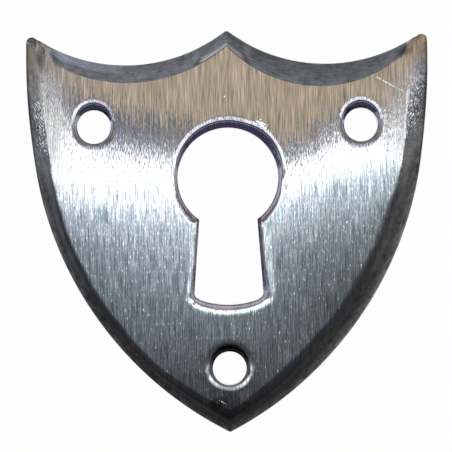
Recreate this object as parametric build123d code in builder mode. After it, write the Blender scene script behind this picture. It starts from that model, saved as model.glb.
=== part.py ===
"""Shield-shaped keyhole escutcheon: one solid steel plate, millimetres.

The plate lies on its flat back, on z = 0, with the brushed face up and the top of the shield
towards +Y. The origin is the centre of the keyhole's round head, on the back plane.
"""

import os
from math import radians, sqrt, tan

from build123d import *

# Shield outline at the back plane. Levels are heights along Y above the keyhole's centre.
PLATE_WIDTH = 38.0
WIDEST_LEVEL = 10.8
FLANK_RADIUS = 65.0  # the nearly straight flanks below the ears
FLANK_END_LEVEL = 1.4  # where each flank runs into the long lower curve
APEX_LEVEL = 14.05
EAR_LEVEL = 14.0
POINT_LEVEL = -24.1
SCALLOP_DEPTH = 3.2  # how far each top curve dips below the line from apex to ear

# Rounding of the outline's corners in plan.
APEX_ROUND = 0.35
EAR_ROUND = 0.75
POINT_ROUND = 0.35

# Section of the plate.
PLATE_THICKNESS = 2.4
WALL_DRAFT = 8.0  # degrees by which the outer wall leans in towards the face
SHOULDER_RADIUS = 1.5  # rounded edge of the face along the flanks and the lower curves

# Flat bevel along each scallop, widest in the middle and run out short of the ear.
BEVEL_WIDTH = 1.95
BEVEL_END = 1.3  # from the ear's corner back along the scallop to where the bevel runs out
BEVEL_APEX_DROP = 1.6  # from the apex down to the corner of the face behind it
BEVEL_SLOPE = 35.0  # degrees down from the face

# Keyhole: a round head over a slot that widens downwards to a bowed end.
HEAD_DIAMETER = 9.55
NECK_WIDTH = 5.5
SLOT_END_WIDTH = 6.6
SLOT_CORNER_LEVEL = -11.3
SLOT_END_BOW = 0.7
SLOT_CORNER_ROUND = 0.5

# Screw holes: two below the ears and one above the point.
SCREW_HOLE_DIAMETER = 3.2
SCREW_LEVEL = 4.95
SCREW_EDGE_DISTANCE = 6.1  # from a hole's centre out to the flank, or down to the point

RIM_RADIUS = 0.9  # rounded rims of the keyhole and the screw holes


def flank_x(level):
    """Half-width of the shield on its flank, at a level along Y."""
    return PLATE_WIDTH / 2 - FLANK_RADIUS + sqrt(FLANK_RADIUS**2 - (level - WIDEST_LEVEL) ** 2)


apex = (0, APEX_LEVEL)
ear = (flank_x(EAR_LEVEL), EAR_LEVEL)
flank_end = (flank_x(FLANK_END_LEVEL), FLANK_END_LEVEL)
point = (0, POINT_LEVEL)

screw_x = flank_x(SCREW_LEVEL) - SCREW_EDGE_DISTANCE
screw_holes = [(-screw_x, SCREW_LEVEL), (screw_x, SCREW_LEVEL), (0, POINT_LEVEL + SCREW_EDGE_DISTANCE)]

# Outline with sharp corners: the right half, mirrored for the left.
with BuildSketch() as shield:
    with BuildLine():
        scallop = SagittaArc(ear, apex, SCALLOP_DEPTH)
        flank = ThreePointArc(flank_end, (PLATE_WIDTH / 2, WIDEST_LEVEL), ear)
        TangentArc(flank_end, point, tangent=-(flank % 0))
        mirror(about=Plane.YZ)
    make_face()

# The same outline with its four corners rounded.
with BuildSketch() as rounded_shield:
    add(shield.sketch)
    fillet(rounded_shield.vertices().sort_by(Axis.Y)[-1], radius=APEX_ROUND)
    fillet(rounded_shield.vertices().sort_by(Axis.Y)[0], radius=POINT_ROUND)
    fillet(rounded_shield.vertices().sort_by(Axis.X)[0], radius=EAR_ROUND)
    fillet(rounded_shield.vertices().sort_by(Axis.X)[-1], radius=EAR_ROUND)

# Circle in which the right-hand bevel meets the face, through the corner behind the apex, the
# deepest part of the bevel and the place short of the ear where it runs out.
bevel_middle = scallop @ 0.5 - Vector(0, BEVEL_WIDTH)
bevel_end = scallop @ (BEVEL_END / scallop.length)
bevel_edge = ThreePointArc((0, APEX_LEVEL - BEVEL_APEX_DROP), bevel_middle, bevel_end)
bevel_run = PLATE_THICKNESS / tan(radians(BEVEL_SLOPE))

# Keyhole slot, from the head's centre down.
with BuildSketch() as keyhole:
    neck_level = -sqrt((HEAD_DIAMETER / 2) ** 2 - (NECK_WIDTH / 2) ** 2)
    slot_corner = (SLOT_END_WIDTH / 2, SLOT_CORNER_LEVEL)
    with BuildLine():
        Polyline((0, 0), (NECK_WIDTH / 2, neck_level), slot_corner)
        mirror(about=Plane.YZ)
        SagittaArc((-SLOT_END_WIDTH / 2, SLOT_CORNER_LEVEL), slot_corner, -SLOT_END_BOW)
    make_face()
    fillet(keyhole.vertices().group_by(Axis.Y)[0], radius=SLOT_CORNER_ROUND)
    Circle(HEAD_DIAMETER / 2)

with BuildPart() as escutcheon_plate:
    # Plate with drafted walls, shouldered along the flanks and the lower curves.
    extrude(shield.sketch, amount=PLATE_THICKNESS, dir=(0, 0, 1), taper=WALL_DRAFT)
    face_edges = escutcheon_plate.faces().sort_by(Axis.Z)[-1].edges()
    fillet(face_edges.sort_by(Axis.Y)[:-2], radius=SHOULDER_RADIUS)

    # Conical cuts that leave the flat bevels, then the rounded corners.
    bevel_centre = bevel_edge.arc_center
    with Locations(*[(side * bevel_centre.X, bevel_centre.Y, PLATE_THICKNESS) for side in (-1, 1)]):
        Cone(
            bevel_edge.radius - bevel_run,
            bevel_edge.radius + bevel_run,
            2 * PLATE_THICKNESS,
            mode=Mode.SUBTRACT,
        )
    extrude(rounded_shield.sketch, amount=PLATE_THICKNESS, dir=(0, 0, 1), mode=Mode.INTERSECT)

    # Keyhole and screw holes, with rounded rims on the face.
    extrude(keyhole.sketch, amount=PLATE_THICKNESS, dir=(0, 0, 1), mode=Mode.SUBTRACT)
    with Locations(*[(x, y, PLATE_THICKNESS) for x, y in screw_holes]):
        Hole(SCREW_HOLE_DIAMETER / 2)
    rims = escutcheon_plate.faces().sort_by(Axis.Z)[-1].inner_wires()
    fillet(rims.edges(), radius=RIM_RADIUS)

os.makedirs("parts", exist_ok=True)
escutcheon_plate.part.label = "escutcheon_plate"
export_step(escutcheon_plate.part, "parts/escutcheon_plate.step")
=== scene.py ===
"""Shield-shaped keyhole escutcheon in brushed steel, lying on a pale floor and seen from above."""

from math import atan2, pi, radians, sin, sqrt, tan

import bpy
import numpy as np
from mathutils import Matrix, Vector
from mathutils.geometry import delaunay_2d_cdt


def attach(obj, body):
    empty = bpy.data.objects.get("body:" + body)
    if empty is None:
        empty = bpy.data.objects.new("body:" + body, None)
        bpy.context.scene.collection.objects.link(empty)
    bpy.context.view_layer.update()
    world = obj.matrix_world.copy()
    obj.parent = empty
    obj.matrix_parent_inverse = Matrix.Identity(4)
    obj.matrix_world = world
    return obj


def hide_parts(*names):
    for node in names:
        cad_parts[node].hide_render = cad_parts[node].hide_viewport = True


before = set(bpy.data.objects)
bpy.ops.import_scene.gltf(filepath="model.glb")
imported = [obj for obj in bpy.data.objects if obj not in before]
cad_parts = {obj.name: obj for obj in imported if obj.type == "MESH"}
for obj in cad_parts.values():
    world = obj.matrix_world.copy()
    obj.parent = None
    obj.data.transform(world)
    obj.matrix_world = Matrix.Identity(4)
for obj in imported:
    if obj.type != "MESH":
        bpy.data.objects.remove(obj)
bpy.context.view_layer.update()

MM = 0.001

# Sizes of the plate in millimetres, in the solid's own terms. Levels are heights along Y.
PLATE_WIDTH = 38.0
WIDEST_LEVEL = 10.8
FLANK_RADIUS = 65.0
FLANK_END_LEVEL = 1.4
APEX_LEVEL = 14.05
EAR_LEVEL = 14.0
POINT_LEVEL = -24.1
SCALLOP_DEPTH = 3.2
APEX_ROUND = 0.35
EAR_ROUND = 0.75
POINT_ROUND = 0.35
THICKNESS = 2.4
BEVEL_APEX_DROP = 1.6
BEVEL_SLOPE = radians(35.0)
HEAD_RADIUS = 4.775
NECK_WIDTH = 5.5
SLOT_END_WIDTH = 6.6
SLOT_CORNER_LEVEL = -11.3
SLOT_END_BOW = 0.7
SLOT_CORNER_ROUND = 0.5
SCREW_RADIUS = 1.6
SCREW_LEVEL = 4.95
SCREW_EDGE_DISTANCE = 6.1

# Edges, dressed by hand. A pair gives the left half (-1) and the right half (1), which differ a little.
BEVEL_WIDTH = {-1: 1.75, 1: 2.2}
BEVEL_PAST = {-1: (16.2, 10.75), 1: (17.15, 11.85)}  # a place on a bevel's inner line, short of the ear
BEVEL_STOP = 0.6  # from the ear, along X, to where that line stops
BEVEL_NARROWS = {-1: (0.9, 2.6), 1: (0.9, 2.3)}  # distances from the ear over which a bevel widens
BEVEL_LEAST = 0.12  # share of its width that a bevel keeps at the ear
FACET_SHARE = 0.36  # share of the bevel that is dressed flatter behind the apex
FACET_FLATNESS = 0.7
FACET_REACH = {-1: (3.4, 2.4), 1: (2.6, 1.4)}  # distances from the middle over which that facet sets in
SHOULDER_WIDTH = {-1: 1.5, 1: 1.78}
SHOULDER_GAIN = {-1: 0.0, 1: 0.6}  # by which a shoulder is wider along the lower curve
SHOULDER_START = {-1: (9.0, 2.0), 1: (11.0, 3.5)}  # levels between which a shoulder grows to its depth
POINT_SHOULDER = 1.95  # width of both shoulders where they meet at the point
EDGE_TILT = radians(40.0)  # slope of a shoulder where it meets the wall
EDGE_BREAK = 0.07  # tiny rounding between the wall and the shoulder
RUN_OUT = 0.2  # width left of a bevel or shoulder at the tip of an ear
INSET = 0.02  # by which the filed outline stays inside the solid's

# Finishes of the edges for the left half and the right half, as strengths from 0 to 1. Many of them paint
# light or shade into the edges' colour.
GREY_FADE = {-1: (1.2, 2.8), 1: (0.9, 2.3)}  # distances from the ear over which a bevel's grey sets in
GREY_LEAD = {-1: 0.6, 1: 0.0}  # how much sooner it sets in across the bevel
EAR_LINE = {-1: 0.9, 1: 0.3}  # painted dark line, a painted shade, along the rim of an ear
EAR_LINE_FADE = (0.22, 0.1)  # distances from the rim over which that line sets in
END_PATCH = {-1: 0.4, 1: 0.8}  # a darker patch painted where a bevel ends, its distance from the ear and its width
END_PATCH_PLACE = {-1: 2.6, 1: 2.4}
END_PATCH_WIDTH = {-1: 0.4, 1: 0.8}
BEVEL_DARK = {-1: 0.15, 1: 0.35}  # painted shade on the outer part of a bevel, and the share of it where that ends
BEVEL_DARK_END = {-1: 0.7, 1: 1.3}
PAINTED_TWO_TONES = {-1: 1.0, 1: 0.0}  # bevel painted pale outside and darker inside near the ear, as painted light and shade
GLINT_REACH = {-1: (2.9, 2.1), 1: (1.9, 1.1)}  # distances from the middle over which the painted glint behind the apex sets in
GLINT_SHADE = {-1: 0.0, 1: 0.3}  # painted shade laid over that painted glint
LOWER_SHADE = {-1: 0.25, 1: 0.35}  # painted shade of the lower curve's shoulder
BARE_AND_SHEEN_LEVELS = {-1: (-1.0, 4.5), 1: (0.0, 7.5)}  # levels between which the flank is rubbed to bright metal and painted lighter as painted light
BARE_AND_SHEEN_DULLED = {-1: 0.16, 1: 0.0}  # loss of that near the ear
OUTER_SHEEN = {-1: 0.1, 1: 0.24}  # painted light on the outer and the inner part of the lower shoulder
INNER_SHEEN = {-1: 0.0, 1: 0.4}
STRUCK_LEVEL = {-1: -1.0, 1: 1.0}  # level above which the flank is struck with small specks
FLANK_GLINT = {-1: 0.0, 1: 0.6}  # glint where the flank's shoulder meets the face
BEVEL_APART = 30  # keeps the file strokes of the bevels apart from those of the flanks

# Spacing of the points along an edge and on the face, and places across the edges and the rims.
STEP = 0.13
GRID = 0.7
GRID_CLEAR = 0.4  # least distance from an edge to a point of the grid
EDGE_PLACES = (0.02, 0.08, 0.18, 0.3, 0.42, 0.55, 0.68, 0.8, 0.9, 0.965, 1.0)
RIM_PLACES = (
    1.0, 0.93, 0.86, 0.79, 0.72, 0.65, 0.58, 0.52, 0.46, 0.4, 0.34, 0.28, 0.22, 0.15, 0.08, 0.03, 0.0,
)

# Rolled rims of the screw holes and the keyhole. Three values are those above, beside and below a hole. The
# dark share of a rim is painted shade, and a painted mauve shade is laid over it.
RIM_TURN = 0.92  # slope at which a rim runs into its hole
RIM_MARGIN = 0.15  # flat ring of the face around a rim
UPPER_RIM = {
    "widths": (1.2, 0.5, 0.8),
    "lean": (0.03, 0.024, 0.004),
    "ease": (0.22, 0.1, 0.6),
    "start": (0.4, 0.45, 0.74),
    "spread": (0.15, 0.25, 0.14),
    "lead": (0.08, 0.1, 0.1),
    "dark": (0.0, 0.0, 0.4),
    "glow": (0.0, 0.0, 0.0),
    "haze": (0.8, 0.9, 1.0),
}
LOWER_RIM = {
    "widths": (1.4, 0.85, 0.6),
    "lean": (0.08, 0.0, 0.082),
    "ease": (0.7, 0.08, 0.3),
    "start": (0.62, 0.62, 0.68),
    "spread": (0.38, 0.18, 0.16),
    "lead": (0.45, 0.08, 0.08),
    "dark": (1.0, 0.8, 0.35),
    "glow": (0.0, 1.0, 0.0),
    "haze": (0.0, 0.0, 0.0),
}
HEAD_RIM = {
    "widths": (1.25, 0.5, 1.2),
    "lean": (0.034, 0.024, 0.045),
    "ease": (0.22, 0.1, 0.55),
    "start": (0.44, 0.42, 0.66),
    "spread": (0.15, 0.25, 0.3),
    "lead": (0.08, 0.1, 0.1),
    "dark": (0.0, 0.0, 0.3),
    "haze": (0.8, 0.9, 1.5),
}
SLOT_RIM_WIDTHS = (0.42, 1.0, 1.15)
SLOT_END_LEAN = (0.0, 0.0, 0.083)
NECK_RIM = 0.8  # width of the rim at the corners of the neck
RIGHT_GAIN = 0.3  # by which the keyhole's rim is wider on the right, beside the head and beside the slot


def flank_x(level):
    """Half-width of the shield on its flank, at a level along Y."""
    return PLATE_WIDTH / 2 - FLANK_RADIUS + sqrt(FLANK_RADIUS**2 - (level - WIDEST_LEVEL) ** 2)


def arc(centre, start, end):
    """Points on the shorter arc about a centre, from start to end."""
    a, b = np.subtract(start, centre), np.subtract(end, centre)
    turn = atan2(a[0] * b[1] - a[1] * b[0], a @ b)
    count = max(2, round(abs(turn) * np.hypot(*a) / STEP)) + 1
    angles = atan2(a[1], a[0]) + turn * np.linspace(0, 1, count)
    return np.array(centre) + np.hypot(*a) * np.stack([np.cos(angles), np.sin(angles)], 1)


def line(start, end):
    """Points on a straight line from start to end."""
    count = max(2, round(np.hypot(*np.subtract(end, start)) / STEP)) + 1
    return np.linspace(start, end, count)


def chain(*pieces):
    """Runs of points joined end to end, with the shared points kept once."""
    return np.concatenate([piece[:-1] for piece in pieces[:-1]] + [pieces[-1]])


def circle_centre(a, b, c):
    """Centre of the circle through three points."""
    a, b, c = np.array(a), np.array(b), np.array(c)
    rows = 2 * np.array([b - a, c - a])
    return np.linalg.solve(rows, [b @ b - a @ a, c @ c - a @ a])


def unit(way):
    """A direction in plan, brought to length 1."""
    return np.array(way) / np.hypot(*way)


def right_normals(points):
    """Unit normals to the right of the direction of travel along an open run of points."""
    along = np.gradient(points, axis=0)
    along /= np.hypot(*along.T)[:, None]
    return np.stack([along[:, 1], -along[:, 0]], 1)


def lengths(points):
    """Distance travelled along a run of points, at each point."""
    return np.concatenate([[0], np.cumsum(np.hypot(*np.diff(points, axis=0).T))])


def smooth(low, high, value):
    """Soft step from 0 at low to 1 at high."""
    t = np.clip((np.asarray(value) - low) / (high - low), 0, 1)
    return t * t * (3 - 2 * t)


def ramp(low, high, value):
    """The soft step summed from 0 up to a value."""
    t = np.clip((value - low) / (high - low), 0, 1)
    return (high - low) * (t**3 - t**4 / 2) + np.maximum(value - high, 0)


def closeness(distances, reach):
    """1 at a place, falling to 0 at a reach away from it."""
    return np.clip(1 - distances / reach, 0, 1) ** 2


def by_direction(facing, top, sides, bottom):
    """A size of a rolled rim, by how far its place lies up (1) or down (-1) from the hole."""
    up = np.clip(facing, 0, 1) ** 1.5
    down = np.clip(-facing, 0, 1) ** 1.5
    return sides + (top - sides) * up + (bottom - sides) * down


def round_corner(points, corner, inward, half_angle, radius):
    """Points near a sharp corner brought onto a small circle that rounds it."""
    if radius <= 0:
        return points
    centre = np.array(corner) + np.array(inward) * radius / sin(half_angle)
    away = points - centre
    near = np.hypot(*(points - corner).T) < radius / tan(half_angle)
    points = points.copy()
    points[near] = centre + radius * away[near] / np.hypot(*away[near].T)[:, None]
    return points


# Right half of the outline: scallop from the apex to the ear, then the side from the ear to the point.
apex = np.array((0.0, APEX_LEVEL - INSET))
ear = np.array((flank_x(EAR_LEVEL) - INSET, EAR_LEVEL - INSET))
flank_end = np.array((flank_x(FLANK_END_LEVEL) - INSET, FLANK_END_LEVEL))
point = np.array((0.0, POINT_LEVEL + 2 * INSET))
chord = np.hypot(*(ear - apex))
scallop_radius = (chord**2 / 4 + SCALLOP_DEPTH**2) / (2 * SCALLOP_DEPTH)
scallop_up = np.array((apex[1] - ear[1], ear[0])) / chord
scallop_centre = (apex + ear) / 2 + scallop_up * (scallop_radius - SCALLOP_DEPTH)
flank_centre = np.array((PLATE_WIDTH / 2 - FLANK_RADIUS - INSET, WIDEST_LEVEL))
inward = unit(flank_centre - flank_end)
lower_radius = (flank_end - point) @ (flank_end - point) / (2 * inward @ (point - flank_end))
lower_centre = flank_end + inward * lower_radius
scallop = arc(scallop_centre, apex, ear)
side = chain(arc(flank_centre, ear, flank_end), arc(lower_centre, flank_end, point))
from_ear = np.hypot(*(scallop - ear).T)
level = side[:, 1]
travelled = lengths(side)

# Corners: the direction that halves each, pointing into the plate, and half its angle.
ear_a, ear_b = unit(scallop[-2] - ear), unit(side[1] - ear)
ear_inward = unit(ear_a + ear_b)
ear_half = np.arccos(ear_a @ ear_b) / 2
apex_half = atan2(scallop[1][0], apex[1] - scallop[1][1])
point_half = atan2(side[-2][0], side[-2][1] - point[1])
ear_inner = ear + ear_inward * RUN_OUT / sin(ear_half)
point_inner = point + (0, POINT_SHOULDER / sin(point_half))


def bevel_line(hand):
    """Line in which one half's bevel meets the face, drawn as the right half."""
    apex_inner = apex - (0, BEVEL_APEX_DROP)
    middle = (apex + ear) / 2 - scallop_up * SCALLOP_DEPTH - (0, BEVEL_WIDTH[hand])
    centre = circle_centre(apex_inner, middle, BEVEL_PAST[hand])
    radius = np.hypot(*(apex_inner - centre))
    end_x = ear[0] - BEVEL_STOP
    end = (end_x, centre[1] - sqrt(radius**2 - (end_x - centre[0]) ** 2))
    inner = arc(centre, apex_inner, end)
    shares, own = np.linspace(0, 1, len(scallop)), np.linspace(0, 1, len(inner))
    inner = np.stack([np.interp(shares, own, inner[:, i]) for i in (0, 1)], 1)
    narrowed = BEVEL_LEAST + (1 - BEVEL_LEAST) * smooth(*BEVEL_NARROWS[hand], from_ear)
    inner = scallop + (inner - scallop) * narrowed[:, None]
    return inner + (ear_inner - inner[-1]) * closeness(from_ear, 0.9)[:, None]


def shoulder_line(hand):
    """Line in which one half's shoulder meets the face, drawn as the right half, and its widths."""
    wander = 0.02 * np.sin(level * 1.1 + hand) + 0.015 * np.sin(level * 2.3 + 2 * hand)
    ripple = 0.008 * np.sin(level * 8.3) + 0.006 * np.sin(level * 15.1 + hand)
    wander += ripple * smooth(-4.0, 2.0, level)
    full = SHOULDER_WIDTH[hand] * (1 + wander) + SHOULDER_GAIN[hand] * smooth(1.0, -4.5, level)
    widths = RUN_OUT + (full - RUN_OUT) * smooth(EAR_LEVEL - 0.5, EAR_LEVEL - 3.0, level)
    to_point = travelled[-1] - travelled
    widths += (POINT_SHOULDER - widths) * smooth(10.0, 0.0, to_point)
    inner = side + right_normals(side) * widths[:, None]
    inner += (point_inner - inner[-1]) * closeness(to_point, 5.0)[:, None]
    inner += (ear_inner - inner[0]) * closeness(travelled, 1.5)[:, None]
    return inner, widths


bevel_lines = {hand: bevel_line(hand) for hand in (1, -1)}
shoulder_lines = {hand: shoulder_line(hand) for hand in (1, -1)}


def bevel_run(hand, share):
    """One half's bevel at a share of the way from the outline to the face: plan, depth and finishes."""
    gap = bevel_lines[hand] - scallop
    gaps = np.hypot(*gap.T)
    apex_corner = apex - (0, BEVEL_APEX_DROP * share)
    apex_radius = APEX_ROUND - share * BEVEL_APEX_DROP * sin(apex_half)
    plan = scallop + gap * share
    plan = round_corner(plan, apex_corner, (0, -1), apex_half, apex_radius)
    plan = round_corner(plan, ear, ear_inward, ear_half, EAR_ROUND - RUN_OUT * share)
    x = plan[:, 0]
    facet = FACET_FLATNESS * smooth(*FACET_REACH[hand], x) * min(1 - share, FACET_SHARE)
    depth = gaps * tan(BEVEL_SLOPE) * np.clip(gaps / 0.6, 0, 1) * (1 - share - facet)
    depth = depth * (0.3 + 0.7 * smooth(1.0, 4.5, from_ear)) * smooth(0.0, 0.9, from_ear)

    # Filed grey with a crisp line towards the face, which softens near the ear.
    softness = 0.012 + 0.5 * smooth(4.5, 2.0, from_ear)
    bevel = smooth(0.0, softness, 1 - share) * smooth(*GREY_FADE[hand], from_ear)
    bevel = bevel * smooth(0.0, 0.5, share + 1.5 * smooth(2.0, 4.0, from_ear) + GREY_LEAD[hand])
    ear_line = EAR_LINE[hand] * smooth(*EAR_LINE_FADE, gaps * share) * smooth(3.2, 1.8, from_ear)

    # A darker patch painted where the bevel ends, and painted shade on the outer part, darkest behind the
    # apex.
    end_patch = np.exp(-(((from_ear - END_PATCH_PLACE[hand]) / END_PATCH_WIDTH[hand]) ** 2))
    end_patch = END_PATCH[hand] * end_patch * smooth(0.1, 0.5, share)
    dark = (BEVEL_DARK[hand] + 0.2 * smooth(6.0, 1.5, x)) * smooth(BEVEL_DARK_END[hand], 0.1, share)
    dark = dark * (1 - PAINTED_TWO_TONES[hand] * smooth(9.0, 11.5, x) * smooth(17.0, 15.0, x))

    # Painted glint on the facet behind the apex with a painted dark line along it, and painted light and
    # shade in two tones near the left ear.
    behind_apex = smooth(*GLINT_REACH[hand], x)
    painted_two_tones = PAINTED_TWO_TONES[hand] * smooth(8.0, 11.5, x) * smooth(17.5, 15.5, x)
    glow = 0.9 * behind_apex * (0.62 < share < 0.93)
    glow = glow + 0.2 * painted_two_tones * smooth(0.5, 0.4, share) * smooth(0.0, 0.1, share)
    lines = 0.7 * behind_apex * (0.93 < share < 0.99) + GLINT_SHADE[hand] * glow
    lines = lines + painted_two_tones * (0.15 * smooth(0.4, 0.6, share) + 0.2 * (0.5 < share < 0.6))
    shade = np.maximum(np.maximum(dark * (1 - glow), end_patch), np.maximum(ear_line, lines))
    none = np.zeros(len(plan))
    return {
        "plan": plan,
        "depth": depth,
        "edge": ear_line,
        "bevel": bevel,
        "shade": shade,
        "glow": glow,
        "along": lengths(scallop) - BEVEL_APART,
        "across": gaps * share,
        "bare_and_sheen": none,
        "struck": none,
    }


def shoulder_run(hand, share):
    """One half's shoulder at a share of the way from the outline to the face: plan, depth and finishes."""
    inner, widths = shoulder_lines[hand]
    plan = side + (inner - side) * share
    plan = round_corner(plan, ear, ear_inward, ear_half, EAR_ROUND - RUN_OUT * share)
    plan = round_corner(plan, point, (0, 1), point_half, POINT_ROUND - share * POINT_SHOULDER)
    rise = smooth(*SHOULDER_START[hand], level)
    roundness = 1.35 + 0.65 * smooth(4.0, -6.0, level)
    depth = widths * tan(EDGE_TILT) / roundness * rise * (1 - share) ** roundness

    # Filed edge: crisp along the flank, soft near the ear and along the lower curve.
    lower = smooth(3.0, -7.0, level)
    softness = 0.02 + 0.3 * smooth(5.0, 9.0, level) + 0.5 * smooth(9.5, 12.0, level)
    edge = (1 - lower) * smooth(0.0, softness, 1.02 - share) + lower * smooth(0.0, 0.7, 1 - share)
    ear_line = EAR_LINE[hand] * smooth(*EAR_LINE_FADE, widths * share)
    edge = edge + (ear_line - edge) * smooth(1.5, 0.0, travelled)

    # Painted shade: a dark outline along the flank, and a shade that deepens towards the point.
    flank_line = 0.6 * smooth(0.3, 0.14, widths * share) * smooth(-3.0, 3.0, level)
    shade = LOWER_SHADE[hand] * smooth(0.0, -8.0, level) * smooth(0.1, 0.45, share)
    shade = shade * (1 - 0.7 * smooth(0.6, 0.95, share))
    shade = np.maximum(shade + 0.3 * smooth(-14.0, -21.0, level), flank_line)

    # Flank rubbed to bright metal and painted lighter towards the top and the face as painted light,
    # painted light in patches below it, and small struck specks.
    first, full = np.subtract(BARE_AND_SHEEN_LEVELS[hand], 4.0 * smooth(0.3, 0.9, share))
    bare_and_sheen = smooth(first, full, level) * (0.6 + 0.4 * share)
    bare_and_sheen = bare_and_sheen * (1 - BARE_AND_SHEEN_DULLED[hand] * smooth(6.5, 9.5, level))
    bare_and_sheen = bare_and_sheen + OUTER_SHEEN[hand] * smooth(0.5, 0.2, share) * smooth(2.0, -4.0, level)
    below_flank = smooth(3.0, -1.0, level) * smooth(-20.0, -9.0, level)
    bare_and_sheen = bare_and_sheen + INNER_SHEEN[hand] * smooth(0.3, 0.7, share) * below_flank
    above = level - STRUCK_LEVEL[hand]
    struck = smooth(10.5, 7.5, above) * smooth(0.0, 4.5, above) * (0.65 + 0.35 * smooth(0.1, 0.5, share))
    glow = FLANK_GLINT[hand] * (share > 0.95) * smooth(9.0, 7.2, level) * smooth(3.0, 5.0, level)
    return {
        "plan": plan,
        "depth": depth,
        "edge": edge,
        "bevel": np.zeros(len(plan)),
        "shade": shade,
        "glow": glow,
        "along": travelled,
        "across": widths * share,
        "bare_and_sheen": bare_and_sheen,
        "struck": struck,
    }


def outline_ring(share):
    """A closed clockwise ring around the plate, at a share of the way from the outline to the face."""
    runs = []
    for hand, order in ((1, (bevel_run, shoulder_run)), (-1, (shoulder_run, bevel_run))):
        for edge_run in order:
            run = edge_run(hand, share)
            run["plan"] = run["plan"] * (hand, 1)
            runs.append({name: values[::hand][:-1] for name, values in run.items()})
    return {name: np.concatenate([run[name] for run in runs]) for name in runs[0]}


# Finishes that each point of the mesh carries, four to a layer. Some of them are painted light and shade.
LAYERS = {
    "finish": ("edge", "bevel", "rim", "shade"),
    "filing": ("along", "across", "dirt", "haze"),
    "polish": ("glow", "wear", "bare_and_sheen", "struck"),
}
verts, faces = [], []
finishes = {name: [] for names in LAYERS.values() for name in names}


def add_ring(plan, heights, **given):
    """Adds points with their finishes, 0 where none is given, and returns their numbers."""
    count = len(plan)
    verts.extend(zip(*np.transpose(plan), np.broadcast_to(heights, count)))
    for name, values in finishes.items():
        values.extend(np.broadcast_to(given.get(name, 0.0), count))
    return np.arange(len(verts) - count, len(verts))


def add_band(outer, inner):
    """Quads between two clockwise rings that have the same number of points, facing out of the plate."""
    faces.extend(zip(inner, np.roll(inner, -1), np.roll(outer, -1), outer))


def inside(points, loops):
    """Which points in plan lie inside the first loop and outside the others."""
    ends = [np.array([verts[n][:2] for n in loop]) for loop in loops]
    a = np.concatenate(ends)
    b = np.concatenate([np.roll(end, -1, 0) for end in ends])
    found = []
    for x, y in points:
        rows = (a[:, 1] > y) != (b[:, 1] > y)
        at = a[rows, 0] + (y - a[rows, 1]) * (b[rows, 0] - a[rows, 0]) / (b[rows, 1] - a[rows, 1])
        found.append(np.count_nonzero(at > x) % 2 == 1)
    return np.array(found)


def add_sheet(loops, upward, extra=()):
    """Triangles of a sheet inside the first loop and outside the others."""
    numbers = list(np.concatenate(loops)) + list(extra)
    edges, first = [], 0
    for loop in loops:
        edges += [(first + i, first + (i + 1) % len(loop)) for i in range(len(loop))]
        first += len(loop)
    made = delaunay_2d_cdt([Vector(verts[n][:2]) for n in numbers], edges, [], 0, 1e-7)
    corners = np.array([[made[3][n][0] for n in triangle] for triangle in made[2]])
    corners = np.array(numbers)[corners]
    plan = np.array([v[:2] for v in verts])
    for triangle, keep in zip(corners, inside(plan[corners].mean(1), loops)):
        a, b, c = plan[triangle]
        turn = (b[0] - a[0]) * (c[1] - a[1]) - (b[1] - a[1]) * (c[0] - a[0])
        if keep and abs(turn) > 1e-9:
            faces.append(tuple(triangle) if (turn > 0) == upward else tuple(triangle[::-1]))


# Outline: wall, edge break, bevels and shoulders, and two rings of support on the face.
ring = outline_ring(0.0)
# The wall carries the full painted shade.
wall = {"edge": ring["edge"], "bevel": ring["bevel"], "along": ring["along"], "shade": 1.0}
foot = add_ring(ring["plan"], 0.0, **wall)
last = add_ring(ring["plan"], THICKNESS - ring["depth"] - EDGE_BREAK, **wall)
add_band(foot, last)
for share in EDGE_PLACES:
    ring = outline_ring(share)
    plan, depth = ring.pop("plan"), ring.pop("depth")
    numbers = add_ring(plan, THICKNESS - depth, **ring)
    add_band(last, numbers)
    last = numbers
MIDDLE = np.array((0.0, -3.0))  # about the middle of the face
for shrink, glow in ((0.002, ring["glow"]), (0.012, 0.0)):
    numbers = add_ring(plan + (MIDDLE - plan) * shrink, THICKNESS, glow=glow)
    add_band(last, numbers)
    last = numbers
face_loops, back_loops = [last], [foot]


def add_hole(plan, outward, widths, lean, ease, start, spread, lead, dark, glow, haze):
    """Wall and rolled rim of a hole, from the hole outwards. Across the rim the face first leans
    over, eased in, and then turns down into the hole."""
    lean = lean / np.clip(np.abs(outward[:, 1]), 0.3, 1)
    # The hole's wall, a thin lip along its edge and the dark share of the rim are painted shade.
    foot = last = add_ring(plan, 0.0, rim=1.0, shade=1.0)
    for t in RIM_PLACES:
        depth = widths * (lean * ramp(0, ease, t) + (RIM_TURN - lean) * ramp(start, start + spread, t))
        here = plan + outward * (widths * (1 - t))[:, None]
        rim = smooth(0.0, 1.0, (t - start + lead) / (0.07 + spread))
        lip = smooth(0.14, 0.03, widths * (1 - t)) * smooth(0.3, -0.2, outward[:, 1])
        numbers = add_ring(
            here,
            THICKNESS - depth,
            rim=rim,
            shade=np.maximum(dark * rim, lip),
            glow=glow * smooth(0.0, 0.45, t) * smooth(0.05, -0.1, t - start),
            haze=haze * smooth(0.0, 0.5, t),
        )
        add_band(numbers, last)
        last = numbers
    numbers = add_ring(plan + outward * (widths + RIM_MARGIN)[:, None], THICKNESS)
    add_band(numbers, last)
    face_loops.append(numbers)
    back_loops.append(foot)


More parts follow.
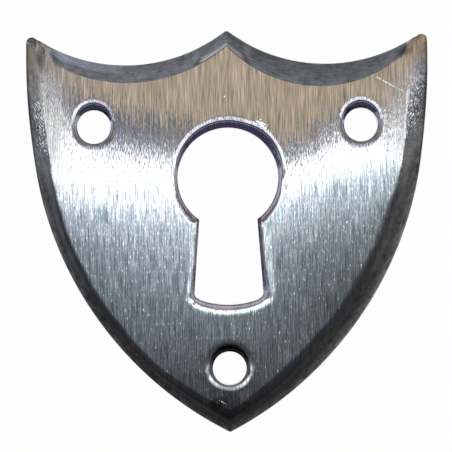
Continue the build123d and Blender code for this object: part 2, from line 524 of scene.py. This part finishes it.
# Screw holes: two below the ears and one above the point, whose glint lies only in its lower half.
screw_x = flank_x(SCREW_LEVEL) - SCREW_EDGE_DISTANCE
bottom_level = POINT_LEVEL + SCREW_EDGE_DISTANCE
turns = np.linspace(0, -2 * pi, round(2 * pi * SCREW_RADIUS / STEP) + 1)[:-1]
outward = np.stack([np.cos(turns), np.sin(turns)], 1)
for centre, rim in (
    ((-screw_x, SCREW_LEVEL), UPPER_RIM),
    ((screw_x, SCREW_LEVEL), UPPER_RIM),
    ((0, bottom_level), LOWER_RIM),
):
    sizes = {name: by_direction(outward[:, 1], *three) for name, three in rim.items()}
    sizes["glow"] = sizes["glow"] * smooth(0.3, -0.1, outward[:, 1])
    add_hole(np.array(centre) + SCREW_RADIUS * outward, outward, **sizes)

# Keyhole, clockwise: the head from the left neck to the right, then the slot back to the left neck.
neck = np.array((NECK_WIDTH / 2, -sqrt(HEAD_RADIUS**2 - NECK_WIDTH**2 / 4)))
corner = np.array((SLOT_END_WIDTH / 2, SLOT_CORNER_LEVEL))
slot_foot = np.array((0.0, SLOT_CORNER_LEVEL - SLOT_END_BOW))
flip = np.array((-1, 1))
head = chain(arc((0, 0), neck * flip, (0, HEAD_RADIUS)), arc((0, 0), (0, HEAD_RADIUS), neck))
end_centre = circle_centre(corner, slot_foot, corner * flip)
slot = chain(
    line(neck, corner),
    arc(end_centre, corner, slot_foot),
    arc(end_centre, slot_foot, corner * flip),
    line(corner * flip, neck * flip),
)
side_way, end_way = unit(neck - corner), unit(slot_foot - corner)
corner_half = np.arccos(side_way @ end_way) / 2
corner_inward = unit(side_way + end_way)
for mirror in (np.array((1, 1)), flip):
    slot = round_corner(slot, corner * mirror, corner_inward * mirror, corner_half, SLOT_CORNER_ROUND)
keyhole = chain(head, slot)[:-1]

# Reach of the keyhole's rim over the face. At the neck the rims of head and slot share a corner.
rim_runs = []
for run, three in ((head, HEAD_RIM["widths"]), (slot, SLOT_RIM_WIDTHS)):
    out = -right_normals(run)
    widths = by_direction(out[:, 1], *three)
    widths = widths + RIGHT_GAIN * smooth(0.2, 0.8, out[:, 0]) * smooth(-0.1, 0.2, out[:, 1])
    widths = widths + RIGHT_GAIN * smooth(0.5, 0.95, out[:, 0]) * smooth(-3.0, -4.0, run[:, 1])
    from_start = lengths(run)
    from_end = from_start[-1] - from_start
    for from_neck in (from_start, from_end):
        widths = widths + (NECK_RIM - widths) * closeness(from_neck, 2.0)
    rim_runs.append((out, widths, from_start, from_end))
neck_out = rim_runs[0][0][-1]
halving = unit(neck_out + rim_runs[1][0][0])
right_neck = halving * NECK_RIM / (halving @ neck_out)
left_neck = right_neck * flip
reaches = []
for rim_run, first, final in zip(rim_runs, (left_neck, right_neck), (right_neck, left_neck)):
    out, widths, from_start, from_end = rim_run
    reach = out * widths[:, None]
    reach += (first - reach[0]) * closeness(from_start, 1.2)[:, None]
    reach += (final - reach[-1]) * closeness(from_end, 1.2)[:, None]
    reaches.append(reach[:-1])
reach = np.concatenate(reaches)
widths = np.hypot(*reach.T)
outward = reach / widths[:, None]

# The slot's sides are sharper than the head's rim and painted darker with painted shade, and its end leans
# towards the light.
facing = outward[:, 1]
rim = {name: by_direction(facing, *three) for name, three in HEAD_RIM.items()}
in_slot = smooth(-3.5, -4.1, keyhole[:, 1])
at_end = smooth(-8.0, -10.8, keyhole[:, 1])
slot_sides = in_slot * (1 - at_end)
above_neck = smooth(-4.7, -3.9, keyhole[:, 1])
from_neck = np.hypot(np.abs(keyhole[:, 0]) - neck[0], keyhole[:, 1] - neck[1])
which_side = np.sign(keyhole[:, 0])
right_start = 0.12 * smooth(0.2, 0.8, outward[:, 0]) * above_neck
slot_dark = (0.6 + 0.1 * which_side) * slot_sides + 0.2 * np.exp(-((from_neck / 0.6) ** 2))
slot_glow = (0.5 + 0.1 * which_side) * slot_sides + 0.65 * at_end
add_hole(
    keyhole,
    outward,
    widths,
    lean=rim["lean"] * (1 - in_slot) + by_direction(facing, *SLOT_END_LEAN) * at_end,
    ease=rim["ease"] * (1 - at_end) + 0.45 * at_end,
    start=rim["start"] - right_start + (0.73 - 0.11 * at_end - rim["start"]) * in_slot,
    spread=rim["spread"] + (0.12 - 0.03 * at_end - rim["spread"]) * in_slot,
    lead=rim["lead"] * (1 - in_slot) + 0.06 * in_slot,
    dark=rim["dark"] * (1 - in_slot) + slot_dark,
    glow=slot_glow * smooth(-0.9, -0.6, facing),
    haze=rim["haze"] * above_neck,
)

# Face on a grid of points, and the plain back.
columns = np.arange(-PLATE_WIDTH / 2, PLATE_WIDTH / 2, GRID)
rows = np.arange(POINT_LEVEL, APEX_LEVEL, GRID)
grid = np.array([(x + GRID / 2 * (i % 2), y) for i, y in enumerate(rows) for x in columns])
grid = grid[inside(grid, face_loops)]
borders = np.array([verts[n][:2] for loop in face_loops for n in loop])
clear = np.array([np.min(np.hypot(*(borders - place).T)) > GRID_CLEAR for place in grid])
add_sheet(face_loops, True, add_ring(grid[clear], THICKNESS))
add_sheet(back_loops, False)


def fall(x, y):
    """How far the hand-finished face falls below a true plane."""
    share = x / (PLATE_WIDTH / 2)
    left = 0.0291 * share**2 + 0.04 * share**8
    right = 0.0195 * smooth(5.0, 12.0, x) + 0.03 * share**10
    left_hollow = 0.4 * smooth(-6.0, -14.0, x) * (ramp(-3.5, 1.5, -y) - ramp(2.5, 6.5, -y))
    right_hollow = 0.2 * smooth(6.0, 9.0, x) * smooth(16.0, 13.0, x)
    right_hollow = right_hollow * (ramp(-1.5, 1.5, -y) - ramp(5.0, 9.0, -y))
    crown = np.where(x < 0, left, right) * (EAR_LEVEL - y - left_hollow - right_hollow)
    sag = 0.24 * smooth(-3.0, 9.0, x) * smooth(2.0, -16.0, y)
    dip = smooth(-14.0, -7.0, x) * smooth(6.0, 0.0, x) * smooth(4.0, -10.0, y) * smooth(-20.0, -11.0, y)
    right_roll = 0.012 * smooth(12.0, 16.0, x) * ramp(-3.0, 1.0, -y)
    left_roll = 0.006 * smooth(-8.0, -13.0, x) * (ramp(1.5, 5.0, -y) - ramp(6.0, 10.0, -y))
    return crown + sag + 0.04 * dip + right_roll + left_roll


def grime(x, y):
    """How dirty the plate is at the ears and around the lower hole, and how much darker it is made towards
    the point.
    """
    shift = 0.7 * np.sign(x)
    ears = smooth(4.9 - shift, 1.2 - shift, np.hypot(np.abs(x) - ear[0], y - ear[1]))
    lower_hole = smooth(3.4, 1.6, np.hypot(x, y - bottom_level + 0.6))
    return np.maximum(np.maximum(0.8 * ears, 0.7 * lower_hole), smooth(-18.5, -22.0, y))


def rubbed(x, y):
    """How much the flanks are scuffed by handling."""
    return smooth(14.0, 16.5, np.abs(x)) * smooth(-1.0, 4.0, y) * smooth(12.5, 9.5, y)


SHARP_EDGE = radians(27)
points = np.array(verts)
finishes["dirt"] = grime(*points[:, :2].T)
finishes["wear"] = rubbed(*points[:, :2].T)
above_back = points[:, 2] > 0
points[above_back, 2] -= fall(*points[above_back, :2].T)
mesh = bpy.data.meshes.new("brushed_shield")
mesh.from_pydata((points * MM).tolist(), [], [[int(n) for n in face] for face in faces])
mesh.shade_smooth()
mesh.set_sharp_from_angle(angle=SHARP_EDGE)
for name, four in LAYERS.items():
    layer = mesh.attributes.new(name, "FLOAT_COLOR", "POINT")
    values = np.column_stack([finishes[one] for one in four])
    layer.data.foreach_set("color", values.astype(np.float32).ravel())
plate = bpy.data.objects.new("brushed_shield", mesh)
bpy.context.scene.collection.objects.link(plate)
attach(plate, "root")
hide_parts("escutcheon_plate")


def linear(code):
    """Linear RGBA of an sRGB hex colour."""
    channels = [int(code[i : i + 2], 16) / 255 for i in (1, 3, 5)]
    return tuple(c / 12.92 if c <= 0.04045 else ((c + 0.055) / 1.055) ** 2.4 for c in channels) + (1.0,)


def add_node(tree, kind, inputs=None, **settings):
    """One node with its settings. An input takes a value, a link from another node's output, or a
    node, which stands for its first output in use."""
    node = tree.nodes.new("ShaderNode" + kind)
    for name, value in settings.items():
        setattr(node, name, value)
    for key, value in (inputs or {}).items():
        named = [socket for socket in node.inputs if socket.name == key and socket.enabled]
        socket = named[0] if named else node.inputs[key]
        if isinstance(value, bpy.types.Node):
            value = next(output for output in value.outputs if output.enabled)
        if isinstance(value, bpy.types.NodeSocket):
            tree.links.new(value, socket)
        else:
            socket.default_value = value
    return node


def empty_tree(owner):
    """The node tree of a material, a world or a lamp, cleared."""
    owner.use_nodes = True
    owner.node_tree.nodes.clear()
    return owner.node_tree


# Brushed steel: a plate rubbed lengthwise with grit, which leaves fine vertical streaks that glitter
# one by one and spread a reflection sideways. Its edges were filed and left dark, with painted shade laid
# over them, and its hole rims rolled.
# Sizes along X and along Y are in millimetres, coarser than the grit's own scratches so that they show.
STREAK = (0.09, 2.2)
DASH = (0.085, 0.45)
DASH_SHIFT = (17, 5)  # keeps the dashes apart from the streaks
BAND = (0.4, 6.0)
FILE_STROKE = (1.2, 0.12)  # along an edge and across it
FILE_TURN = 20  # degrees
FILE_DEPTH = 0.02
SPECK = (0.36, 0.085)  # along an edge and across it
SPECK_TURN = 22
PIT = 0.17
MOTTLE = 0.5
BLOTCH = 1.3

# Slopes, in radians, by which the scratches and marks lean the face up and down.
STREAK_SWAY = 0.018
DASH_SHAKE = 0.016
SCUFF_LEAN = 0.03
GLITTER_LEAN = 0.034
KEY_TURN = -0.00667  # for each millimetre of level, to catch the brightest light
KEY_LEAN = -0.0053  # the same at level 0
RAGGED = 1.8  # how torn the edges of the marks are

# Nick beside the keyhole, dot, rubbed patch and scratches: centre, half the size, turn in degrees.
MARKS = (
    ((3.2, 4.95), (0.62, 0.4), -33),
    ((-0.22, 7.74), (0.11, 0.09), 0),
    ((14.9, 5.6), (0.13, 0.6), 0),
    ((15.45, 8.7), (1.7, 0.06), -29),
    ((-0.69, -21.17), (0.3, 0.06), -30),
)
# Dirt rubbed in beside the ears, and a darker patch above the point, in the same way.
SMEARS = (
    ((-17.7, 11.2), (0.7, 1.5), 0),
    ((17.0, 11.85), (1.2, 0.6), 35),
    ((0.0, -22.4), (3.4, 2.6), 0),
)


def from_middle(tree, place, centre, half, turn):
    """How far a place lies from the middle of a mark: 1 on its edge."""
    settings = {
        "Vector": place,
        "Location": (*centre, 0),
        "Rotation": (0, 0, radians(turn)),
        "Scale": (*half, 1000),
    }
    spot = add_node(tree, "Mapping", settings, vector_type="TEXTURE")
    return add_node(tree, "VectorMath", {0: spot}, operation="LENGTH")


def scratches(tree, place, size, detail, shift=(0, 0), turn=0):
    """A pattern of scratches, by the size of one along X and along Y."""
    settings = {
        "Vector": place,
        "Location": (*shift, 0),
        "Rotation": (0, 0, radians(turn)),
        "Scale": (1 / size[0], 1 / size[1], 0),
    }
    spot = add_node(tree, "Mapping", settings)
    settings = {"Vector": spot, "Scale": 1.0, "Detail": detail}
    return add_node(tree, "TexNoise", settings, noise_dimensions="2D")


def brushed_steel():
    """Steel of the plate: a brushed face, filed edges and rolled rims, by the finishes of the mesh, some of
    which paint light and shade into its colour.
    """
    steel = bpy.data.materials.new("brushed_steel")
    tree = empty_tree(steel)
    place = add_node(tree, "TexCoord").outputs["Object"]
    place = add_node(tree, "Mapping", {"Vector": place, "Scale": (1 / MM, 1 / MM, 1 / MM)})
    height = add_node(tree, "SeparateXYZ", {"Vector": place}).outputs["Y"]
    layers = {name: add_node(tree, "Attribute", attribute_name=name).outputs for name in LAYERS}
    edge, bevel, rim = add_node(tree, "SeparateColor", {"Color": layers["finish"]["Color"]}).outputs
    glow, wear, bare_and_sheen = add_node(tree, "SeparateColor", {"Color": layers["polish"]["Color"]}).outputs
    shade, haze, struck = [layers[name]["Alpha"] for name in ("finish", "filing", "polish")]
    filing = layers["filing"]["Color"]

    # Lean of the brushed face: streaks and dashes, scuffs on the flanks, and marks that catch the light.
    streaks = scratches(tree, place, STREAK, detail=2.0)
    dashes = scratches(tree, place, DASH, detail=1.0, shift=DASH_SHIFT)
    grain = add_node(tree, "TexNoise", {"Vector": place, "Scale": 1 / PIT, "Detail": 2.0})
    streak_parts = add_node(tree, "SeparateColor", {"Color": streaks.outputs["Color"]}).outputs
    dash_parts = add_node(tree, "SeparateColor", {"Color": dashes.outputs["Color"]}).outputs
    sway, shake, scuffs, ragged = [
        add_node(tree, "MapRange", {"Value": value, "To Min": -most, "To Max": most}, clamp=False)
        for value, most in (
            (streak_parts[0], STREAK_SWAY),
            (dash_parts[1], DASH_SHAKE),
            (dash_parts[2], SCUFF_LEAN),
            (grain, RAGGED),
        )
    ]
    nod = add_node(tree, "MapRange", {"Value": dash_parts[0], "From Min": 0.5, "To Max": 1.9})
    glitter = add_node(tree, "Math", {0: nod, 1: 3.0}, operation="POWER")
    lean = add_node(tree, "Math", {0: sway, 1: shake}, operation="ADD")
    lean = add_node(tree, "Math", {0: glitter, 1: GLITTER_LEAN, 2: lean}, operation="MULTIPLY_ADD")
    lean = add_node(tree, "Math", {0: wear, 1: scuffs, 2: lean}, operation="MULTIPLY_ADD")
    catch = add_node(tree, "Math", {0: height, 1: KEY_TURN, 2: KEY_LEAN}, operation="MULTIPLY_ADD")
    bright = glow
    for mark in MARKS:
        away = add_node(tree, "Math", {0: from_middle(tree, place, *mark), 1: ragged}, operation="ADD")
        spot = add_node(tree, "MapRange", {"Value": away, "From Min": 1.0, "From Max": 0.6})
        bright = add_node(tree, "Math", {0: bright, 1: spot}, operation="MAXIMUM")
    lean = add_node(tree, "Math", {0: bright, 1: catch, 2: lean}, operation="MULTIPLY_ADD")
    tilt = add_node(tree, "CombineXYZ", {"Y": lean})
    upright = add_node(tree, "NewGeometry").outputs["Normal"]
    leaning = add_node(tree, "VectorMath", {0: upright, 1: tilt}, operation="ADD")
    leaning = add_node(tree, "VectorMath", {0: leaning}, operation="NORMALIZE")

    # Grey of the face, streaked and banded, with dirt in blotches and a painted mauve shade over the rims
    # and their glints.
    grey = add_node(
        tree, "Mix", {"Factor": 0.2, "A": streaks, "B": streaks.outputs["Color"]}, data_type="RGBA"
    )
    bands = scratches(tree, place, BAND, detail=1.0)
    bands = add_node(tree, "MapRange", {"Value": bands, "To Min": 0.85, "To Max": 1.55}, clamp=False)
    least = linear("#272119")[:3]
    face_tint = add_node(tree, "VectorMath", {0: grey, 1: bands, 2: least}, operation="MULTIPLY_ADD")
    smears = add_node(
        tree, "TexNoise", {"Vector": place, "Scale": 1 / BLOTCH, "Detail": 5.0, "Roughness": 0.65}
    )
    grimy = add_node(tree, "SeparateXYZ", {"Vector": filing}).outputs["Z"]
    blotch = add_node(tree, "MapRange", {"Value": smears, "From Min": 0.42, "From Max": 0.62})
    dirt = add_node(tree, "Math", {0: grimy, 1: blotch}, operation="MULTIPLY")
    for smear in SMEARS:
        away = from_middle(tree, place, *smear)
        spot = add_node(tree, "MapRange", {"Value": away, "From Min": 1.0, "From Max": 0.2, "To Max": 0.7})
        dirt = add_node(tree, "Math", {0: dirt, 1: spot}, operation="MAXIMUM")
    # Painted shade: a mauve film that dims the rims and their glints.
    mauve_shade_cover = add_node(
        tree,
        "MapRange",
        {"Value": streaks, "From Min": 0.25, "From Max": 0.5, "To Min": 1.0, "To Max": 0.75},
    )
    mauve_shade_cover = add_node(tree, "Math", {0: mauve_shade_cover, 1: haze}, operation="MULTIPLY")
    for cover, colour in ((dirt, linear("#5c5646")), (mauve_shade_cover, linear("#7d7c8f"))):
        face_tint = add_node(tree, "Mix", {"Factor": cover, "A": face_tint, "B": colour}, data_type="RGBA")
    face_shader = add_node(
        tree,
        "BsdfPrincipled",
        {
            "Base Color": face_tint,
            "Metallic": 1.0,
            "Roughness": add_node(tree, "MapRange", {"Value": wear, "To Min": 0.12, "To Max": 0.25}),
            "Anisotropic": 0.97,
            "Normal": leaning,
            "Tangent": add_node(tree, "CombineXYZ", {"X": 1.0}),
        },
    )

    # Filed edges: mottled strokes, rubbed bright and painted lighter as painted light, dirty or struck,
    # with slate-grey bevels, painted highlights on the bevels, rolled rims tinted mauve as a painted
    # reflection, and painted shade.
    mottle = add_node(tree, "TexNoise", {"Vector": place, "Scale": 1 / MOTTLE, "Detail": 4.0})
    strokes = scratches(tree, filing, FILE_STROKE, detail=3.0, turn=FILE_TURN)
    roughness = add_node(tree, "Math", {0: mottle, 1: strokes}, operation="ADD")
    filed_normal = add_node(
        tree, "Bump", {"Height": roughness, "Strength": 1.0, "Distance": FILE_DEPTH * MM}
    )
    patch = add_node(tree, "Math", {0: smears, 1: roughness}, operation="ADD")
    patch = add_node(tree, "MapRange", {"Value": patch, "From Min": 1.2, "From Max": 1.8})
    stripe = add_node(tree, "MapRange", {"Value": streaks, "From Min": 0.35, "From Max": 0.65})
    speck_place = add_node(
        tree,
        "Mapping",
        {"Vector": filing, "Rotation": (0, 0, radians(SPECK_TURN)), "Scale": (*SPECK, 1)},
        vector_type="TEXTURE",
    )
    specks = add_node(tree, "TexNoise", {"Vector": speck_place, "Scale": 1.0, "Detail": 1.0})
    specks = add_node(tree, "MapRange", {"Value": specks, "From Min": 0.37, "From Max": 0.7})
    specks = add_node(tree, "Math", {0: specks, 1: struck}, operation="MULTIPLY")
    dirty_ears = add_node(tree, "MapRange", {"Value": height, "From Min": 9.0, "From Max": 11.0})
    dirty_ears = add_node(tree, "Math", {0: dirty_ears, 1: grimy}, operation="MULTIPLY")
    # Painted highlight: where the glow lies on a bevel, the bevel is painted pale blue.
    facet = add_node(tree, "Math", {0: glow, 1: bevel}, operation="MULTIPLY")
    filed, bright_metal_and_sheen, slate, rolled = [
        add_node(tree, "Mix", {"Factor": factor, "A": linear(dark), "B": linear(pale)}, data_type="RGBA")
        for factor, dark, pale in (
            (patch, "#3a3b3a", "#747573"),
            (patch, "#9c9da2", "#d8d9de"),
            (patch, "#7d838b", "#a8afb5"),
            # Rolled rims are tinted mauve, a painted reflection of the surroundings.
            (stripe, "#bab7cb", "#e6e4ee"),
        )
    ]
    edge_tint = filed
    for cover, colour in (
        (bare_and_sheen, bright_metal_and_sheen),
        (dirty_ears, linear("#b09e7c")),
        (specks, linear("#d2d4d8")),
        (bevel, slate),
        (facet, linear("#d0e4ff")),
        (rim, rolled),
        (shade, linear("#2c2d2c")),
    ):
        edge_tint = add_node(tree, "Mix", {"Factor": cover, "A": edge_tint, "B": colour}, data_type="RGBA")
    edge_specks = add_node(tree, "Math", {0: specks, 1: edge}, operation="MULTIPLY")
    catching = add_node(tree, "CombineXYZ", {"Y": catch, "Z": 1.0})
    turned = add_node(
        tree, "Mix", {"Factor": edge_specks, "A": filed_normal, "B": catching}, data_type="VECTOR"
    )
    turned = add_node(tree, "VectorMath", {0: turned}, operation="NORMALIZE")
    dull = add_node(tree, "MapRange", {"Value": rim, "To Min": 0.4, "To Max": 0.1})
    smoother = add_node(tree, "Math", {0: edge_specks, 1: facet}, operation="MAXIMUM")
    dull = add_node(tree, "Mix", {"Factor": smoother, "A": dull, "B": 0.16})
    edge_shader = add_node(
        tree,
        "BsdfPrincipled",
        {"Base Color": edge_tint, "Metallic": 1.0, "Roughness": dull, "Normal": turned},
    )
    dressed = add_node(tree, "Math", {0: edge, 1: bevel}, operation="MAXIMUM")
    dressed = add_node(tree, "Math", {0: dressed, 1: rim}, operation="MAXIMUM")
    surface = add_node(tree, "MixShader", {0: dressed, 1: face_shader, 2: edge_shader})
    add_node(tree, "OutputMaterial", {"Surface": surface})
    return steel


mesh.materials.append(brushed_steel())

# White paper floor.
FLOOR_HALF = 2.0
FLOOR_WHITE = 0.985  # share of plain white, beside the shadow


def white_paper():
    """Paper that is seen as plain white, with a faint shadow on it."""
    paper = bpy.data.materials.new("white_paper")
    tree = empty_tree(paper)
    lit = add_node(tree, "BsdfDiffuse", {"Color": linear("#f4f4f2")})
    white = add_node(tree, "Emission", {"Color": linear("#ffffff"), "Strength": 1.0})
    rays = add_node(tree, "LightPath").outputs
    seen = add_node(tree, "Math", {0: rays["Is Camera Ray"], 1: rays["Is Glossy Ray"]}, operation="MAXIMUM")
    seen = add_node(tree, "Math", {0: seen, 1: rays["Is Transmission Ray"]}, operation="MAXIMUM")
    seen = add_node(tree, "Math", {0: seen, 1: FLOOR_WHITE}, operation="MULTIPLY")
    surface = add_node(tree, "MixShader", {0: seen, 1: lit, 2: white})
    add_node(tree, "OutputMaterial", {"Surface": surface})
    return paper


floor_corners = [(x * FLOOR_HALF, y * FLOOR_HALF, 0) for x, y in ((-1, -1), (1, -1), (1, 1), (-1, 1))]
floor_mesh = bpy.data.meshes.new("floor")
floor_mesh.from_pydata(floor_corners, [], [(0, 1, 2, 3)])
floor = bpy.data.objects.new("floor", floor_mesh)
bpy.context.scene.collection.objects.link(floor)
floor_mesh.materials.append(white_paper())


def studio_room():
    """Room that is dark in front of the plate's foot, light to both sides and greyish beyond its top."""
    world = bpy.data.worlds.new("studio")
    tree = empty_tree(world)
    way = add_node(tree, "TexCoord").outputs["Generated"]
    way = add_node(tree, "SeparateXYZ", {"Vector": way}).outputs
    sideways = add_node(tree, "Math", {0: way["X"]}, operation="ABSOLUTE")
    beside, not_front, beyond, front, not_overhead, low, lowest, past = [
        add_node(
            tree,
            "MapRange",
            {"Value": value, "From Min": first, "From Max": full},
            interpolation_type="SMOOTHSTEP",
        )
        for value, first, full in (
            (sideways, 0.6, 0.9),
            (way["Y"], -0.6, -0.3),
            (way["Y"], 0.55, 0.85),
            (way["Y"], -0.35, -0.75),
            (way["Z"], 0.75, 0.62),
            (way["Z"], 0.3, 0.15),
            (way["Z"], 0.17, 0.1),
            (way["Y"], -0.18, -0.02),
        )
    ]
    rightward = add_node(tree, "MapRange", {"Value": way["X"], "From Min": -0.3, "From Max": 0.3})
    beside = add_node(tree, "Math", {0: beside, 1: not_front}, operation="MULTIPLY")
    front = add_node(tree, "Math", {0: front, 1: not_overhead}, operation="MULTIPLY")
    far_wall, front_wall, side_walls, skirting = [
        add_node(tree, "Mix", {"Factor": factor, "A": linear(one), "B": linear(other)}, data_type="RGBA")
        for factor, one, other in (
            (low, "#a2a0a2", "#cec8ce"),
            (low, "#959597", "#34354d"),
            (rightward, "#a8adb6", "#afafa8"),
            (past, "#45455b", "#cec8ce"),
        )
    ]
    room = linear("#393940")
    covers = ((beyond, far_wall), (front, front_wall), (beside, side_walls), (lowest, skirting))
    for cover, colour in covers:
        room = add_node(tree, "Mix", {"Factor": cover, "A": room, "B": colour}, data_type="RGBA")
    background = add_node(tree, "Background", {"Color": room, "Strength": 1.0})
    add_node(tree, "OutputWorld", {"Surface": background})
    return world


bpy.context.scene.world = studio_room()

# Camera straight above.
IMAGE = 452  # pixels
SCALE = 403.3 / 38.1  # pixels in a millimetre
SENSOR = 36.0
CAMERA_HEIGHT = 300
CAMERA_TURN = radians(-0.55)
AIM = (-0.222, -4.53)
camera = bpy.data.objects.new("camera", bpy.data.cameras.new("camera"))
bpy.context.scene.collection.objects.link(camera)
camera.data.sensor_width = SENSOR
camera.data.lens = SENSOR * CAMERA_HEIGHT * SCALE / IMAGE
camera.data.clip_start = 0.01
camera.data.clip_end = 20.0
stand = Matrix.Translation(Vector((*AIM, CAMERA_HEIGHT + THICKNESS)) * MM)
camera.matrix_world = stand @ Matrix.Rotation(CAMERA_TURN, 4, "Z")
bpy.context.scene.camera = camera

# Lamps hang level above the face. A level on the face mirrors a place further out on their plane.
LAMP_HEIGHT = 100
LAMP_END = 65  # how far the lamps reach to either side


def overhead(level):
    """Place along Y on the lamps' plane that a level of the face mirrors."""
    return AIM[1] + (level - AIM[1]) * (1 + LAMP_HEIGHT / CAMERA_HEIGHT)


def lamp(name, side, low, high, radiance, colour="#ffffff", fade=None, least=0.0):
    """A flat lamp that faces down and is mirrored between two levels of the face. It may fade to a
    least share of its light, from its high end down or, with a negative fade, from its low end up."""
    data = bpy.data.lights.new(name, "AREA")
    data.shape = "RECTANGLE"
    data.size = LAMP_END * MM
    data.size_y = (overhead(high) - overhead(low)) * MM
    data.energy = radiance * pi * data.size * data.size_y
    data.color = linear(colour)[:3]
    if fade:
        tree = empty_tree(data)
        spot = add_node(tree, "NewGeometry").outputs["Parametric"]
        share = add_node(tree, "SeparateXYZ", {"Vector": spot}).outputs["Y"]
        span = (high - low) / fade
        strength = add_node(tree, "Math", {0: share, 1: span, 2: -max(span, 0)}, operation="MULTIPLY_ADD")
        strength = add_node(tree, "Math", {0: strength}, operation="EXPONENT")
        strength = add_node(tree, "Math", {0: strength, 1: least}, operation="ADD")
        light = add_node(tree, "Emission", {"Color": linear("#ffffff"), "Strength": strength})
        add_node(tree, "OutputLight", {"Surface": light})
    hung = bpy.data.objects.new(name, data)
    middle = (overhead(low) + overhead(high)) / 2
    hung.location = Vector((side * LAMP_END / 2, middle, LAMP_HEIGHT + THICKNESS)) * MM
    hung.visible_camera = False
    bpy.context.scene.collection.objects.link(hung)


lamp("key_strip_left", -1, low=-3.2, high=1.3, radiance=2.2)
lamp("key_strip_right", 1, low=-2.8, high=1.05, radiance=2.3)
lamp("cool_tail_left", -1, low=-27.2, high=-3.2, radiance=1.5, colour="#ddf1ff", fade=5.4)
lamp("cool_tail_right", 1, low=-27.2, high=-2.8, radiance=1.75, colour="#dcf0fb", fade=5.3)
lamp("grey_card_left", -1, low=1.3, high=5.2, radiance=1.0, colour="#d0e2ff", fade=-0.6, least=0.22)
lamp("grey_card_right", 1, low=1.05, high=3.4, radiance=0.9, colour="#c8dcff", fade=-0.4, least=0.26)
lamp("warm_card_left", -1, low=5.2, high=70.0, radiance=0.6, colour="#ffebd0")
lamp("warm_card_right", 1, low=3.4, high=70.0, radiance=0.6, colour="#ffe7c6")

bpy.context.scene.view_settings.view_transform = "Standard"
